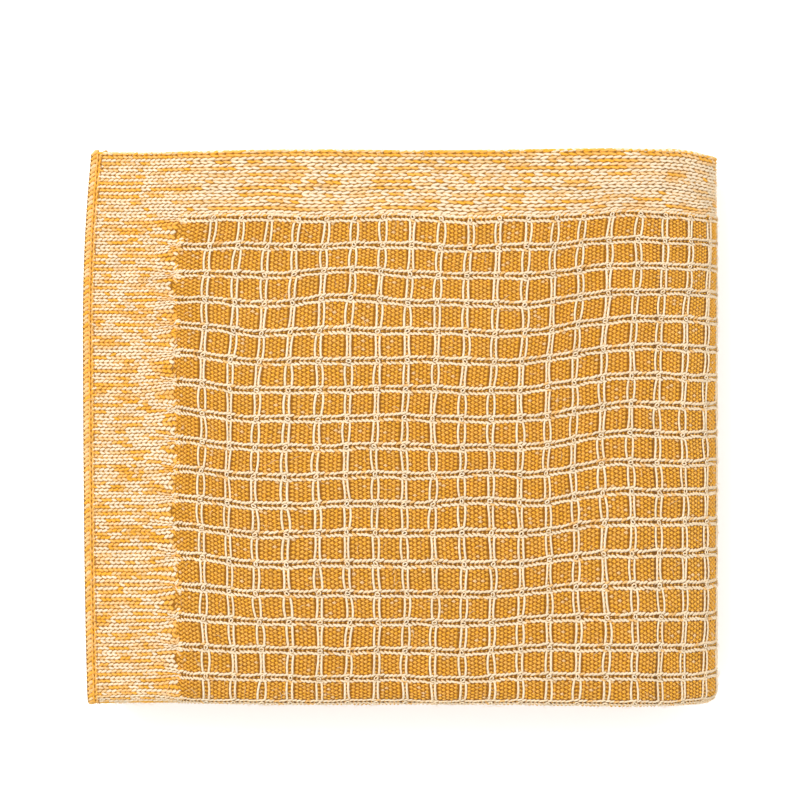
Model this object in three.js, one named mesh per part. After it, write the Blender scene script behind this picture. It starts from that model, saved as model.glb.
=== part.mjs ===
// A knitted throw blanket, folded in quarters both ways into a flat stack.
//
// The throw is one sheet. Its width is folded first, in half and in half again, which makes a strip of
// four layers. Its length is then folded the same way, so four of these strips, called leaves here, lie
// on one another. Two of the cross folds are one inside the other on the +X side and make the round
// spine. The third, the rear fold, is on the -X side under the throw's two bound ends.
//
// Millimetres. +X points to the spine, +Y to the side hems, +Z up. The origin is the middle of the
// underside.
import * as THREE from 'three';

// Driving dimensions of the folded throw.
const FOLDED_LENGTH = 372; // along X, over the spine
const FOLDED_WIDTH = 325; // along Y
const KNIT_THICKNESS = 3.6; // double-bed jacquard knit, lying loose
const LAYER_GAP = 0.3; // air between two layers, and between two pieces that meet
const LAYERS_PER_LEAF = 4;
const LEAVES = 4;
const SIDE_BORDER_WIDTH = 40; // plain marled knit along the two long sides of the throw
const END_BORDER_WIDTH = 55; // the same knit at its two ends, binding included
const BINDING_WIDTH = 6; // the linked cuff that closes each end

// How finely the round stretches are cut.
const WIDE_FOLD_STEPS = 8;
const TIGHT_FOLD_STEPS = 6;
const CROSS_FOLD_STEPS = 12;

// Sizes that follow from the ones above.
const LAYER_PITCH = KNIT_THICKNESS + LAYER_GAP;
const LEAF_PITCH = LAYERS_PER_LEAF * LAYER_PITCH;
const LEAF_HEIGHT = LEAF_PITCH - LAYER_GAP;
const STACK_HEIGHT = LEAVES * LEAF_PITCH - LAYER_GAP;
const TWO_LEAF_HEIGHT = 2 * LEAF_PITCH - LAYER_GAP;
const REAR_EDGE_X = -FOLDED_LENGTH / 2;
const SPINE_RADIUS = STACK_HEIGHT / 2;
const INNER_FOLD_RADIUS = TWO_LEAF_HEIGHT / 2;
const SPINE_X = FOLDED_LENGTH / 2 - SPINE_RADIUS;
const REAR_FOLD_X = REAR_EDGE_X + INNER_FOLD_RADIUS;
const HEM_Y = FOLDED_WIDTH / 2;
const FIELD_EDGE_Y = HEM_Y - SIDE_BORDER_WIDTH;
const FRONT_FOLD_Y = -FOLDED_WIDTH / 2 + LEAF_HEIGHT / 2;
const TIGHT_FOLD_RADIUS = LAYER_PITCH / 2;
const BACK_FOLD_Y = HEM_Y - TIGHT_FOLD_RADIUS - KNIT_THICKNESS / 2;

// The knit's own colours.
const FINISHES = {
  field: new THREE.MeshStandardMaterial({ color: 0xd6962f, roughness: 0.95, metalness: 0 }),
  border: new THREE.MeshStandardMaterial({ color: 0xeeb863, roughness: 0.95, metalness: 0 }),
  binding: new THREE.MeshStandardMaterial({ color: 0xe0a347, roughness: 0.95, metalness: 0 }),
};

// Which way a leaf lies. Layer 0 is the outermost layer, the one with the show side outwards.
const FACE_UP = 'face up';
const FACE_DOWN = 'face down';

/** Depth of a layer's middle below the leaf's show face, layer 0 being the show face itself. */
function layerDepth(layer) {
  return layer * LAYER_PITCH + KNIT_THICKNESS / 2;
}

/** One stop on the middle line of a ribbon of knit: where it is, and the way its side faces. */
function stop(y, depth, sideY, sideDepth) {
  return { middle: new THREE.Vector2(y, depth), side: new THREE.Vector2(sideY, sideDepth) };
}

/**
 * A half turn of the ribbon that joins two layers.
 * @param {number} centreY where the turn's centre is
 * @param {number} fromLayer the layer that the ribbon comes from
 * @param {number} toLayer the layer that it goes on to
 * @param {number} way +1 for a turn that bulges to +Y, -1 for one that bulges to -Y
 * @param {number} steps how many flats the turn is cut into
 */
function halfTurn(centreY, fromLayer, toLayer, way, steps) {
  const centreDepth = (layerDepth(fromLayer) + layerDepth(toLayer)) / 2;
  const reach = (layerDepth(fromLayer) - layerDepth(toLayer)) / 2;
  const outward = -Math.sign(reach) * way;
  const stops = [];
  for (let i = 0; i <= steps; i += 1) {
    const angle = (Math.PI * i) / steps;
    const outY = way * Math.sin(angle);
    const outDepth = Math.sign(reach) * Math.cos(angle);
    stops.push(
      stop(
        centreY + Math.abs(reach) * outY,
        centreDepth + Math.abs(reach) * outDepth,
        outward * outY,
        outward * outDepth,
      ),
    );
  }
  return stops;
}

/**
 * The middle line of the knit across one leaf, from the cut of layer 0 to the cut of layer 1.
 * @param {number} edgeY where both cuts are
 */
function leafMiddleLine(edgeY) {
  return [
    stop(edgeY, layerDepth(0), 0, 1),
    ...halfTurn(FRONT_FOLD_Y, 0, 3, -1, WIDE_FOLD_STEPS),
    ...halfTurn(BACK_FOLD_Y, 3, 2, 1, TIGHT_FOLD_STEPS),
    ...halfTurn(FRONT_FOLD_Y, 2, 1, -1, TIGHT_FOLD_STEPS),
    stop(edgeY, layerDepth(1), 0, -1),
  ];
}

/** The outline of a ribbon of knit round its middle line, as points of (y, depth). */
function ribbonOutline(stops) {
  const half = KNIT_THICKNESS / 2;
  const near = stops.map(({ middle, side }) => middle.clone().addScaledVector(side, half));
  const far = stops.map(({ middle, side }) => middle.clone().addScaledVector(side, -half));
  return [...near, ...far.reverse()];
}

/** The outline of one layer's side border, as points of (y, depth). */
function borderOutline(layer) {
  const near = layerDepth(layer) - KNIT_THICKNESS / 2;
  const far = layerDepth(layer) + KNIT_THICKNESS / 2;
  const start = FIELD_EDGE_Y + LAYER_GAP;
  return [
    new THREE.Vector2(start, near),
    new THREE.Vector2(HEM_Y, near),
    new THREE.Vector2(HEM_Y, far),
    new THREE.Vector2(start, far),
  ];
}

const WHOLE_LEAF_OUTLINE = ribbonOutline(leafMiddleLine(HEM_Y));

// What the sheet is made of along a leaf and round a fold: the patterned field and the two side borders.
const LEAF_STRIPS = [
  { part: 'field', finish: 'field', outline: ribbonOutline(leafMiddleLine(FIELD_EDGE_Y)) },
  { part: 'outer_border', finish: 'border', outline: borderOutline(0) },
  { part: 'inner_border', finish: 'border', outline: borderOutline(1) },
];

function namedMesh(name, geometry, finish) {
  const mesh = new THREE.Mesh(geometry, FINISHES[finish]);
  mesh.name = name;
  return mesh;
}

/** A straight stretch of a leaf between two places along X. */
function straightStretch(name, finish, outline, lie, baseZ, fromX, toX) {
  const geometry = new THREE.ExtrudeGeometry(new THREE.Shape(outline), {
    depth: toX - fromX,
    bevelEnabled: false,
  });
  const mesh = namedMesh(name, geometry, finish);
  const frame = new THREE.Matrix4();
  if (lie === FACE_UP) {
    frame.makeBasis(new THREE.Vector3(0, 1, 0), new THREE.Vector3(0, 0, -1), new THREE.Vector3(-1, 0, 0));
    mesh.position.set(toX, 0, baseZ + LEAF_HEIGHT);
  } else {
    frame.makeBasis(new THREE.Vector3(0, 1, 0), new THREE.Vector3(0, 0, 1), new THREE.Vector3(1, 0, 0));
    mesh.position.set(fromX, 0, baseZ);
  }
  mesh.quaternion.setFromRotationMatrix(frame);
  return mesh;
}

/** A half circle in the XZ plane that starts at its top and bulges to +X or -X. */
class CrossFoldPath extends THREE.Curve {
  constructor(centreX, centreZ, radius, way) {
    super();
    this.centreX = centreX;
    this.centreZ = centreZ;
    this.radius = radius;
    this.way = way;
  }

  getPoint(t, target = new THREE.Vector3()) {
    const angle = Math.PI * t;
    return target.set(
      this.centreX + this.way * this.radius * Math.sin(angle),
      0,
      this.centreZ + this.radius * Math.cos(angle),
    );
  }

  getTangent(t, target = new THREE.Vector3()) {
    const angle = Math.PI * t;
    return target.set(this.way * Math.cos(angle), 0, -Math.sin(angle));
  }
}

/**
 * A stretch of a leaf that turns back over itself round a cross fold.
 * @param {CrossFoldPath} path the line of the fold's outer face
 * @param {boolean} showOutside whether the leaf's show face is on the outside of the fold
 */
function foldedStretch(name, finish, outline, path, showOutside) {
  const points = outline.map(
    (p) => new THREE.Vector2(showOutside ? p.y : LEAF_HEIGHT - p.y, path.way * p.x),
  );
  const geometry = new THREE.ExtrudeGeometry(new THREE.Shape(points), {
    steps: CROSS_FOLD_STEPS,
    extrudePath: path,
    bevelEnabled: false,
  });
  return namedMesh(name, geometry, finish);
}

/** The four-layer leaf between its two cross folds, or between its spine and its end border. */
function leaf(name, place, lie, fromX) {
  const group = new THREE.Group();
  for (const { part, finish, outline } of LEAF_STRIPS) {
    group.add(
      straightStretch(
        `${name}_${part}`,
        finish,
        outline,
        lie,
        place * LEAF_PITCH,
        fromX,
        SPINE_X - LAYER_GAP,
      ),
    );
  }
  return group;
}

/** The marled end of a leaf and the cuff linked along it. */
function boundEnd(name, place, lie) {
  const baseZ = place * LEAF_PITCH;
  const borderX = REAR_EDGE_X + BINDING_WIDTH + LAYER_GAP;
  const fieldX = REAR_EDGE_X + END_BORDER_WIDTH;
  const cuffX = REAR_EDGE_X + BINDING_WIDTH;
  const group = new THREE.Group();
  group.add(
    straightStretch(`${name}_end_border`, 'border', WHOLE_LEAF_OUTLINE, lie, baseZ, borderX, fieldX),
    straightStretch(`${name}_end_binding`, 'binding', WHOLE_LEAF_OUTLINE, lie, baseZ, REAR_EDGE_X, cuffX),
  );
  return group;
}

/** A cross fold: the field and both side borders, all turned round one line. */
function crossFold(name, path, showOutside) {
  const group = new THREE.Group();
  for (const { part, finish, outline } of LEAF_STRIPS) {
    group.add(foldedStretch(`${name}_${part}`, finish, outline, path, showOutside));
  }
  return group;
}

function foldedThrow() {
  const group = new THREE.Group();
  const boundLeafX = REAR_EDGE_X + END_BORDER_WIDTH + LAYER_GAP;
  const foldedLeafX = REAR_FOLD_X + LAYER_GAP;
  const spineZ = STACK_HEIGHT / 2;
  group.add(
    leaf('bottom_leaf', 0, FACE_DOWN, foldedLeafX),
    leaf('third_leaf', 1, FACE_UP, foldedLeafX),
    leaf('second_leaf', 2, FACE_DOWN, boundLeafX),
    leaf('top_leaf', 3, FACE_UP, boundLeafX),
    boundEnd('second_leaf', 2, FACE_DOWN),
    boundEnd('top_leaf', 3, FACE_UP),
    crossFold('rear_fold', new CrossFoldPath(REAR_FOLD_X, INNER_FOLD_RADIUS, INNER_FOLD_RADIUS, -1), true),
    crossFold('inner_spine', new CrossFoldPath(SPINE_X, spineZ, INNER_FOLD_RADIUS, 1), false),
    crossFold('outer_spine', new CrossFoldPath(SPINE_X, spineZ, SPINE_RADIUS, 1), true),
  );
  return group;
}

export default foldedThrow();
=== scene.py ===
"""A knitted throw blanket, folded in quarters both ways, dressed over its fixed frame.

The throw is worked flat first: every stitch and every sheet is laid out on the unfolded cloth, in metres
along its length (u), across it from the side hem (v, which is negative) and out from its show face (n).
The cloth is then folded across its width and along its length into the stack that the frame describes.
"""

import logging
import math
from collections.abc import Callable
from dataclasses import dataclass, replace
from enum import Enum
from functools import partial

import bpy
import numpy as np
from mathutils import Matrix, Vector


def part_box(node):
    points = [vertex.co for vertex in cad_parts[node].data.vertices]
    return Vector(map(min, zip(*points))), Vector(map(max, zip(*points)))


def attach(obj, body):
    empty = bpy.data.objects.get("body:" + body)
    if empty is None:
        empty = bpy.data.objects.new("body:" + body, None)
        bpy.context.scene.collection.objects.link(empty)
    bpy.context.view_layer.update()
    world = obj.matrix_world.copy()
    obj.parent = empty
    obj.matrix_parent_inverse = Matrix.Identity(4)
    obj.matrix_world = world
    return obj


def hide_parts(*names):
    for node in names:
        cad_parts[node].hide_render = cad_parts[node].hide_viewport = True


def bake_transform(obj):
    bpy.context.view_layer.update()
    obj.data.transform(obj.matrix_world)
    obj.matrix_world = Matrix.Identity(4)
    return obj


MM = 0.001
LOG = logging.getLogger("throw")
SEED = 1851


# --------------------------------------------------------------------------- sizes


class Body(Enum):
    """The two halves of the stack, which open like a book."""

    LOWER = "lower_leaves"
    UPPER = "upper_leaves"


class Detail(Enum):
    """How finely a stretch of stitches is made."""

    FINE = "fine"
    PLAIN = "plain"


@dataclass(frozen=True)
class StackSizes:
    """The sizes of the folded stack, all taken from the frame, in metres."""

    rear_x: float
    spine_x: float
    rear_fold_x: float
    height: float
    leaf_height: float
    leaf_pitch: float
    hem_y: float
    field_edge_y: float
    front_fold_y: float
    knit: float
    gap: float
    end_border: float
    binding: float

    @classmethod
    def from_frame(cls) -> "StackSizes":
        """Reads the sizes from the frame's nodes.

        Returns:
            The sizes of the stack.
        """
        field_low, field_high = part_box("top_leaf_field")
        border_low, border_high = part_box("top_leaf_outer_border")
        _, spine_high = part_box("outer_spine_field")
        _, end_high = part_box("top_leaf_end_border")
        cuff_low, cuff_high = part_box("top_leaf_end_binding")
        rear_low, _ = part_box("rear_fold_field")
        _, second_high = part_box("second_leaf_field")
        leaf_height = field_high.z - field_low.z
        gap = field_low.z - second_high.z
        height = field_high.z
        return cls(
            rear_x=cuff_low.x,
            spine_x=spine_high.x - height / 2,
            rear_fold_x=rear_low.x + (2 * leaf_height + gap) / 2,
            height=height,
            leaf_height=leaf_height,
            leaf_pitch=leaf_height + gap,
            hem_y=border_high.y,
            field_edge_y=border_low.y - gap,
            front_fold_y=field_low.y + leaf_height / 2,
            knit=border_high.z - border_low.z,
            gap=gap,
            end_border=end_high.x - cuff_low.x,
            binding=cuff_high.x - cuff_low.x,
        )

    @property
    def middle_z(self) -> float:
        """Height of the plane between the lower and the upper leaves."""
        return self.height / 2

    @property
    def layer_pitch(self) -> float:
        """From one layer of a leaf to the next."""
        return self.knit + self.gap

    @property
    def side_border(self) -> float:
        """Width of the plain knit along the side hem."""
        return self.hem_y - self.field_edge_y


def smooth(t: np.ndarray) -> np.ndarray:
    """Rises softly from 0 to 1 as t goes from 0 to 1.

    Args:
        t: Any values.

    Returns:
        The eased values, from 0 to 1.
    """
    t = np.clip(t, 0.0, 1.0)
    return t * t * (3.0 - 2.0 * t)


def middles(start: float, stop: float, count: int) -> np.ndarray:
    """The middles of equal steps from one place to another.

    Args:
        start: Where the first step starts.
        stop: Where the last one ends.
        count: How many steps.

    Returns:
        The middles, in order.
    """
    return start + (np.arange(count) + 0.5) * (stop - start) / count


def rows_of(a: np.ndarray | float, b: np.ndarray | float, c: np.ndarray | float) -> np.ndarray:
    """Rows of three numbers, from columns or single numbers.

    Args:
        a: The first of each row.
        b: The second.
        c: The third.

    Returns:
        The rows.
    """
    return np.stack(np.broadcast_arrays(a, b, c), axis=1).astype(float)


# --------------------------------------------------------------------------- folding


@dataclass(frozen=True)
class Leg:
    """One straight or one half turn of the cloth's path.

    A turn with side +1 has the show face outside, and one with side -1 has it inside.
    """

    length: float
    radius: float = 0.0
    side: int = 0

    @classmethod
    def turn(cls, radius: float, side: int, gauge: float | None = None) -> "Leg":
        """A half turn.

        Args:
            radius: Radius of the show face's line.
            side: +1 with the show face outside, -1 with it inside.
            gauge: Radius that the length is measured at, where that isn't the show face's.

        Returns:
            The leg.
        """
        return cls(math.pi * (gauge or radius), radius, side)


class ArcPath:
    """A plane path of straights and half turns that a face of the cloth follows."""

    def __init__(self, start: tuple, heading: tuple, normal: tuple, legs: list[Leg]) -> None:
        """Lays the legs end to end.

        Args:
            start: Where the path starts.
            heading: Which way it sets off.
            normal: Which way the show face looks there.
            legs: The path's legs, in order.
        """
        self.legs = legs
        self.stops = [0.0]
        self.starts = []
        p, h, n = (np.array(a, float) for a in (start, heading, normal))
        for leg in legs:
            self.starts.append((p, h, n))
            self.stops.append(self.stops[-1] + leg.length)
            if leg.side:
                p, h, n = p - leg.side * 2 * leg.radius * n, -h, -n
            else:
                p = p + h * leg.length

    @property
    def length(self) -> float:
        """The whole path's length."""
        return self.stops[-1]

    def at(self, s: np.ndarray) -> tuple[np.ndarray, np.ndarray]:
        """Points of the path and the show face's directions there.

        Args:
            s: Distances along the path. A straight goes on past either end of the path.

        Returns:
            The points and the directions, one row each.
        """
        points, normals = np.zeros((len(s), 2)), np.zeros((len(s), 2))
        last = len(self.legs) - 1
        which = np.clip(np.searchsorted(self.stops, s, side="right") - 1, 0, last)
        for i, leg in enumerate(self.legs):
            mask = which == i
            if not mask.any():
                continue
            p, h, n = self.starts[i]
            along = s[mask] - self.stops[i]
            if leg.side:
                angle = along / leg.length * math.pi
                cos, sin = np.cos(angle)[:, None], np.sin(angle)[:, None]
                centre = p - leg.side * leg.radius * n
                points[mask] = centre + leg.radius * (leg.side * n * cos + h * sin)
                normals[mask] = n * cos + leg.side * h * sin
            else:
                points[mask] = p + h * along[:, None]
                normals[mask] = n
        return points, normals


@dataclass(frozen=True)
class Region:
    """A stretch of the throw between two places along its length."""

    name: str
    start: float
    end: float


@dataclass(frozen=True)
class Drift:
    """A place where handling has pushed the pattern's rows or columns out of line.

    Attributes:
        along: Where it starts to set in and where it starts to die out along the throw.
        fade: Over how long it sets in and dies out along the throw.
        across: The same two places across the throw, from the hem.
        slope: Over how long it sets in and dies out across the throw.
        depth: How far the pattern is pushed: rows away from the hem, columns away from the throw's start.
    """

    along: tuple[float, float]
    fade: float
    across: tuple[float, float]
    slope: float
    depth: float

    def at(self, u: np.ndarray, w: np.ndarray) -> np.ndarray:
        """How far it pushes the pattern at some points of the flat throw.

        Args:
            u: The points' places along the throw.
            w: Their places across it, from the hem.

        Returns:
            The distances.
        """
        share = 1.0
        for place, (rise, drop), ease in ((u, self.along, self.fade), (w, self.across, self.slope)):
            share = share * (smooth((place - rise) / ease) * (1 - smooth((place - drop) / ease)))
        return self.depth * share


@dataclass(frozen=True)
class Wave:
    """A gentle wave that loose knit has.

    Attributes:
        height: How far it pushes the pattern.
        along: Its length along the throw, negative where it leans the other way.
        across: Its length across the throw.
        phase: Where it starts, in radians.
    """

    height: float
    along: float
    across: float
    phase: float = 0.0

    def at(self, u: np.ndarray, w: np.ndarray) -> np.ndarray:
        """How far it pushes the pattern at some points of the flat throw.

        Args:
            u: The points' places along the throw.
            w: Their places across it, from the hem.

        Returns:
            The distances.
        """
        return self.height * np.sin(2 * math.pi * (u / self.along + w / self.across) + self.phase)


class FoldedCloth:
    """Takes any point of the flat throw to its place in the folded stack."""

    REGIONS = (  # in their order along the throw, from the end that lies on top
        "top_leaf",
        "outer_spine",
        "bottom_leaf",
        "rear_fold",
        "third_leaf",
        "inner_spine",
        "second_leaf",
    )
    ROW_PITCH = 16.69 * MM  # from one chain line to the next
    ROW_DRIFTS = (
        # up over the spine
        Drift((255 * MM, 400 * MM), 75 * MM, (10 * MM, 200 * MM), 105 * MM, -7.8 * MM),
        # up beside the end border
        Drift((-60 * MM, 58 * MM), 50 * MM, (60 * MM, 225 * MM), 60 * MM, -4.0 * MM),
        # the lowest rows sag
        Drift((80 * MM, 215 * MM), 70 * MM, (222 * MM, 298 * MM), 32 * MM, 2.0 * MM),
        # three small ones in the middle of the field
        Drift((105 * MM, 155 * MM), 45 * MM, (48 * MM, 85 * MM), 36 * MM, -3.6 * MM),
        Drift((195 * MM, 240 * MM), 45 * MM, (170 * MM, 205 * MM), 30 * MM, -2.6 * MM),
        Drift((195 * MM, 225 * MM), 30 * MM, (24 * MM, 60 * MM), 24 * MM, 1.8 * MM),
    )
    COLUMN_DRIFTS = (
        # towards the end border
        Drift((46 * MM, 400 * MM), 26 * MM, (20 * MM, 400 * MM), 130 * MM, -5.2 * MM),
        # two smaller ones, beside the border and before the spine
        Drift((66 * MM, 100 * MM), 50 * MM, (100 * MM, 250 * MM), 60 * MM, -3.4 * MM),
        Drift((258 * MM, 325 * MM), 45 * MM, (10 * MM, 230 * MM), 60 * MM, -2.8 * MM),
    )
    ROW_WAVES = (
        Wave(0.5 * MM, 128 * MM, math.tau / 7, 0.9),
        Wave(0.3 * MM, 71 * MM, 143 * MM),
        Wave(0.2 * MM, 34 * MM, -52 * MM, 1.3),
    )
    COLUMN_WAVES = (
        Wave(0.6 * MM, math.tau / 9, 137 * MM, 0.4),
        Wave(0.4 * MM, 190 * MM, 67 * MM, 2.0),
        Wave(0.2 * MM, -64 * MM, 31 * MM),
    )
    STILL_END = 50 * MM  # the waves grow over this much of the throw from its ends
    STILL_HEM = 26 * MM  # and over this much of it from the hem
    PINCH = 0.58  # how strongly the chain lines gather the end of the marled border
    PINCH_START = 16 * MM  # how far before the field the gathering starts
    SPINE_PULL = 5.5 * MM  # how far the cells on the spine are drawn together on its upper side
    END_INSET = 2.5 * MM  # how far the second leaf's end lies behind the top leaf's

    def __init__(self, sizes: StackSizes) -> None:
        """Sets out both folds.

        Args:
            sizes: The stack's sizes.
        """
        s = self.sizes = sizes
        cut = s.hem_y - s.front_fold_y
        wide = s.leaf_height / 2
        tight = (s.leaf_height - 2 * s.layer_pitch) / 2
        back_fold_y = s.hem_y - s.layer_pitch / 2 - s.knit / 2
        inner = back_fold_y - s.front_fold_y
        self.across = ArcPath(
            (s.hem_y, 0.0),
            (-1.0, 0.0),
            (0.0, 1.0),
            [
                Leg(cut),
                Leg.turn(wide, 1),
                Leg(inner),
                Leg.turn(tight, 1),
                Leg(inner),
                Leg.turn(s.gap / 2, -1),
                Leg(cut),
            ],
        )
        outer_leaf = s.spine_x - s.rear_x
        folded_leaf = s.spine_x - s.rear_fold_x
        outer_radius, inner_radius = s.height / 2, s.leaf_height + s.gap / 2
        self.along = ArcPath(
            (s.rear_x, s.height),
            (1.0, 0.0),
            (0.0, 1.0),
            [
                Leg(outer_leaf),
                Leg.turn(outer_radius, 1),
                Leg(folded_leaf),
                Leg.turn(inner_radius, 1),
                Leg(folded_leaf),
                Leg.turn(s.gap / 2, -1, gauge=inner_radius),
                Leg(outer_leaf),
            ],
        )
        stops = self.along.stops
        self.regions = {n: Region(n, stops[i], stops[i + 1]) for i, n in enumerate(self.REGIONS)}

    @property
    def length(self) -> float:
        """Length of the flat throw, measured on its outer face."""
        return self.along.length

    @property
    def width(self) -> float:
        """Width of the flat throw."""
        return self.across.length

    def ease(self, flat: np.ndarray) -> np.ndarray:
        """Lets the pattern wander a little on the cloth, as loose knit does.

        Args:
            flat: Points of the flat throw.

        Returns:
            The moved points.
        """
        u, w, n = flat[:, 0], -flat[:, 1], flat[:, 2]
        inside = smooth(u / self.STILL_END) * smooth((self.length - u) / self.STILL_END)
        inside *= smooth(w / self.STILL_HEM)
        border, hem = self.sizes.end_border, self.sizes.side_border
        near_end = np.minimum(u, self.length - u)
        pinch = self.PINCH * smooth((near_end - border + self.PINCH_START) / self.PINCH_START)
        pinch *= (near_end < border) * smooth((w - hem + 6 * MM) / (10 * MM))
        phase = 2 * math.pi * (w - hem) / self.ROW_PITCH
        w = w - pinch * self.ROW_PITCH / (2 * math.pi) * np.sin(phase)
        across = sum(drift.at(u, w) for drift in self.ROW_DRIFTS)
        across += inside * sum(wave.at(u, w) for wave in self.ROW_WAVES)
        along = sum(drift.at(u, w) for drift in self.COLUMN_DRIFTS)
        along += inside * sum(wave.at(u, w) for wave in self.COLUMN_WAVES)
        drawn = smooth((u - 322 * MM) / (50 * MM)) * (1 - smooth((u - 395 * MM) / (70 * MM)))
        along -= self.SPINE_PULL * drawn
        along -= self.END_INSET * smooth((u - self.length + 90 * MM) / (90 * MM))
        return np.stack([u + along, -(w + across), n], axis=1)

    def fold(self, flat: np.ndarray) -> np.ndarray:
        """Folds points of the flat throw into the stack.

        Args:
            flat: Points of the flat throw.

        Returns:
            The points in the row frame.
        """
        side, side_normal = self.across.at(-flat[:, 1])
        y = side[:, 0] + flat[:, 2] * side_normal[:, 0]
        depth = side[:, 1] + flat[:, 2] * side_normal[:, 1]
        line, line_normal = self.along.at(flat[:, 0])
        x = line[:, 0] + depth * line_normal[:, 0]
        z = line[:, 1] + depth * line_normal[:, 1]
        return np.stack([x, y, z], axis=1)

    def settle(self, points: np.ndarray) -> np.ndarray:
        """Slackens the folded stack: a soft spine, a bowed end and slightly uneven faces.

        Args:
            points: Points of the folded throw.

        Returns:
            The moved points.
        """
        s = self.sizes
        x, y, z = points.T
        above = np.maximum(z - s.middle_z, 0.0)
        # the spine sinks under its own weight
        fall = 0.25 * smooth((x - 126 * MM) / (60 * MM))
        lift = np.clip((z - s.middle_z) / s.middle_z, 0, 1)
        # the faces are uneven and droop to their edges, most of all on top
        lumps = 0.8 * np.sin(x / (41 * MM) + 0.7) * np.sin(y / (47 * MM) + 0.2)
        lumps += 0.45 * np.sin((x + 0.8 * y) / (23 * MM))
        lumps -= 1.6 * smooth((np.abs(y) - 112 * MM) / (52 * MM)) + 1.3 * smooth((-125 * MM - x) / (62 * MM))
        within = np.sin(2 * math.pi * z / s.height)
        loose = np.sin(x / (49 * MM) - y / (83 * MM)) + 0.6 * np.sin(x / (21 * MM) + y / (31 * MM) + 1.2)
        new_z = z - above * fall + (lumps * lift + 0.75 * loose * within) * MM
        # the bound end bows, and the lower leaves' end lies a little behind the upper ones'
        high = 57 * MM
        upper, lower = s.hem_y - high, high + s.hem_y
        bow = 4.7 * MM * np.clip((y - high) / upper, 0, 1) ** 2
        bow += 2.4 * MM * np.clip((high - y) / lower, 0, 1) ** 2
        bow *= 1 - smooth((x - s.rear_x) / (280 * MM))
        lower_leaves = 1 - smooth((z - s.middle_z + 1 * MM) / (1 * MM))
        bow += 1.2 * MM * lower_leaves * (1 - smooth((x - s.rear_x) / (90 * MM)))
        new_x = x + bow
        # the front and back edges waver, and draw in where they meet the spine
        edge = np.clip(np.abs(y) / s.hem_y, 0, 1.1) ** 3 * np.sign(y)
        waver = 0.7 * np.sin(x / (33 * MM) + 60 * z) + 0.7 * np.sin(x / (58 * MM) + 1.0 + 95 * z) - 0.9
        new_y = y + waver * MM * edge * (1 - 0.5 * smooth((x - 130 * MM) / (40 * MM)))
        new_y += 0.6 * MM * smooth((x - 140 * MM) / (46 * MM)) * smooth((-y - 140 * MM) / (20 * MM))
        new_y -= 3.2 * MM * smooth((x - 150 * MM) / (36 * MM)) ** 2 * smooth((y - 100 * MM) / (60 * MM))
        return np.stack([new_x, new_y, new_z], axis=1)

    def place(self, flat: np.ndarray) -> np.ndarray:
        """Takes points of the flat throw to their resting places.

        Args:
            flat: Points of the flat throw.

        Returns:
            The points in the row frame.
        """
        return self.settle(self.fold(self.ease(flat)))


# --------------------------------------------------------------------------- meshes


def linear(code: str) -> tuple[float, float, float, float]:
    """Turns an sRGB hex colour into linear values.

    Args:
        code: Six hex digits.

    Returns:
        Linear red, green, blue and 1.
    """
    channels = [int(code[i : i + 2], 16) / 255 for i in (0, 2, 4)]
    r, g, b = (c / 12.92 if c <= 0.04045 else ((c + 0.055) / 1.055) ** 2.4 for c in channels)
    return r, g, b, 1.0


def make_mesh(name: str, points: np.ndarray, faces: list, uvs: np.ndarray | None = None) -> bpy.types.Mesh:
    """Makes a mesh with smooth faces.

    Args:
        name: The mesh's name.
        points: One row for each vertex.
        faces: Vertex numbers of each face.
        uvs: One row for each face corner.

    Returns:
        The mesh.
    """
    mesh = bpy.data.meshes.new(name)
    mesh.from_pydata(points.tolist(), [], faces)
    if uvs is not None:
        layer = mesh.uv_layers.new(name="UVMap")
        layer.data.foreach_set("uv", uvs.astype(np.float32).ravel())
    mesh.polygons.foreach_set("use_smooth", [True] * len(mesh.polygons))
    mesh.validate()
    mesh.update()
    return mesh


def tube(line: list, radius: float, sides: int, ends: float = 0.55) -> bpy.types.Mesh:
    """A length of yarn along a line, narrower at both ends and closed there.

    Args:
        line: The yarn's middle line.
        radius: The yarn's radius.
        sides: How many flats go round it.
        ends: The radius at both ends, as a share of the full one.

    Returns:
        The mesh, with the length along and round the yarn as its UV, in metres.
    """
    stops = np.array(line, float)
    count = len(stops)
    headings = np.gradient(stops, axis=0)
    headings /= np.linalg.norm(headings, axis=1)[:, None]
    up = np.array([0.0, 0.0, 1.0])
    lengths = np.concatenate([[0.0], np.cumsum(np.linalg.norm(np.diff(stops, axis=0), axis=1))])
    rings = []
    for i in range(count):
        across = np.cross(up, headings[i])
        if np.linalg.norm(across) < 0.2:
            across = np.cross(np.array([0.0, 1.0, 0.0]), headings[i])
        across /= np.linalg.norm(across)
        over = np.cross(headings[i], across)
        size = radius * (ends if i in (0, count - 1) else 1.0)
        angles = 2 * math.pi * np.arange(sides) / sides
        ring = np.outer(np.cos(angles), across) + np.outer(np.sin(angles), over)
        rings.append(stops[i] + size * ring)
    faces, uvs = [], []
    girth = 2 * math.pi * radius
    for i in range(count - 1):
        for k in range(sides):
            a, b = i * sides + k, i * sides + (k + 1) % sides
            faces.append((a, b, b + sides, a + sides))
            lo, hi = girth * k / sides, girth * (k + 1) / sides
            uvs += [(lengths[i], lo), (lengths[i], hi), (lengths[i + 1], hi), (lengths[i + 1], lo)]
    for i, order in ((0, range(sides - 1, -1, -1)), (count - 1, range(sides))):
        faces.append(tuple(i * sides + k for k in order))
        uvs += [(lengths[i], girth * k / sides) for k in order]
    return make_mesh("yarn", np.concatenate(rings), faces, np.array(uvs))


class Stitch(Enum):
    """The lengths of yarn that the knit's face is made of, in the order of the templates' names."""

    BORDER_LEFT = 0
    BORDER_RIGHT = 1
    CHAIN_LEFT = 2
    CHAIN_RIGHT = 3
    PURL = 4
    FLOAT_OUT = 5
    FLOAT_IN = 6
    RING = 7
    CUFF = 8
    SEAM = 9
    STRAY = 10


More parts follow.
